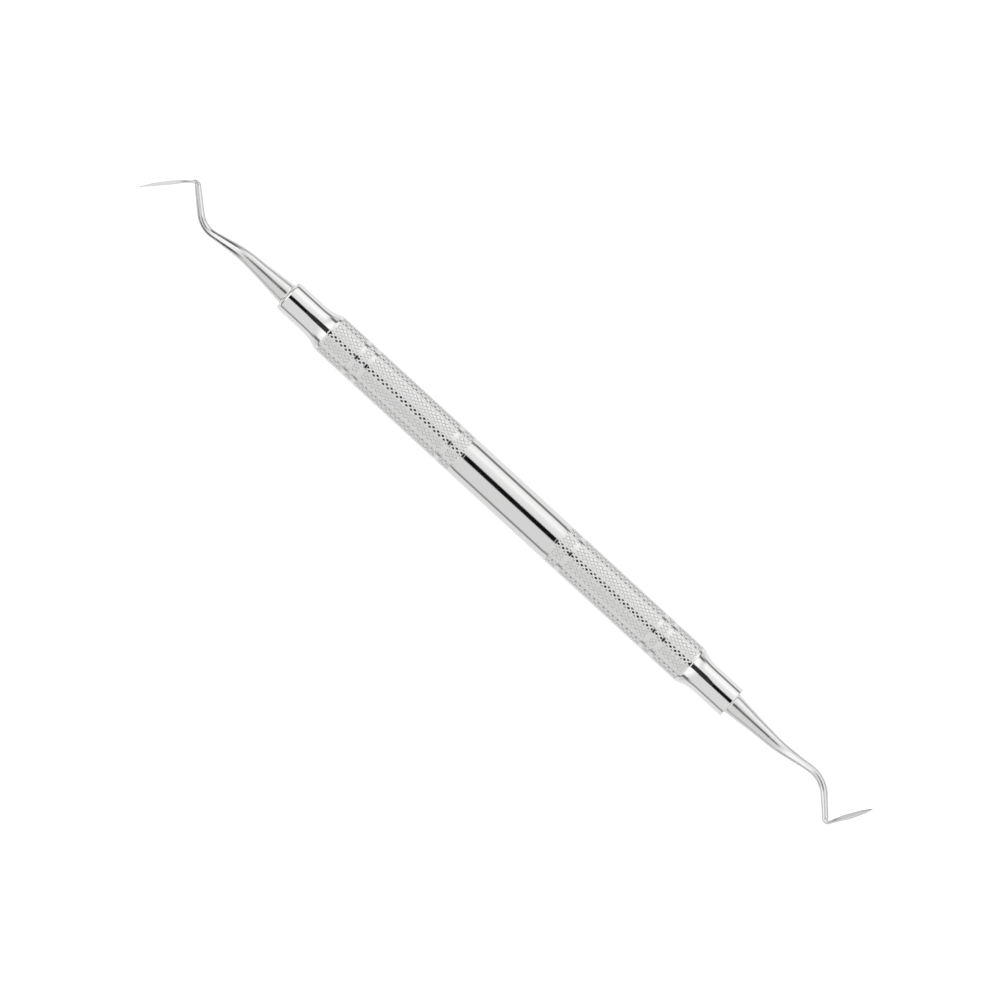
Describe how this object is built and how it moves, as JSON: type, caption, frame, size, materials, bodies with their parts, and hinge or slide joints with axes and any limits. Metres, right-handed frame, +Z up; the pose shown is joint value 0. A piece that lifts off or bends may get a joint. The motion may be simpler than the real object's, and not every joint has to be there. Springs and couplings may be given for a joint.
{
  "type": "dental explorer",
  "caption": "Double-ended dental hand instrument with a knurled hollow handle, necked at both ends, and bent tapered shanks ending in slim spear-shaped blades.",
  "frame": {"origin": "on the handle's axis, midway along the handle", "axes": "+X along the handle towards the right working end, +Z up as it lies on a table on its barrel, with both shanks dipping to the table at their second bend and both tips pointing up"},
  "size_m": [0.1759, 0.0092, 0.009],
  "materials": {
    "barrel_steel": "polished stainless steel with a diamond knurl",
    "neck_steel": "turned and polished stainless steel",
    "braze": "bright silver braze",
    "blade_steel": "hardened stainless steel, hand polished"
  },
  "bodies": {
    "root": {"handle_barrel": "barrel_steel", "left_neck_bush": "neck_steel", "right_neck_bush": "neck_steel", "left_seal_ring": "braze", "right_seal_ring": "braze", "left_working_end": "blade_steel", "right_working_end": "blade_steel"}
  },
  "joints": []
}
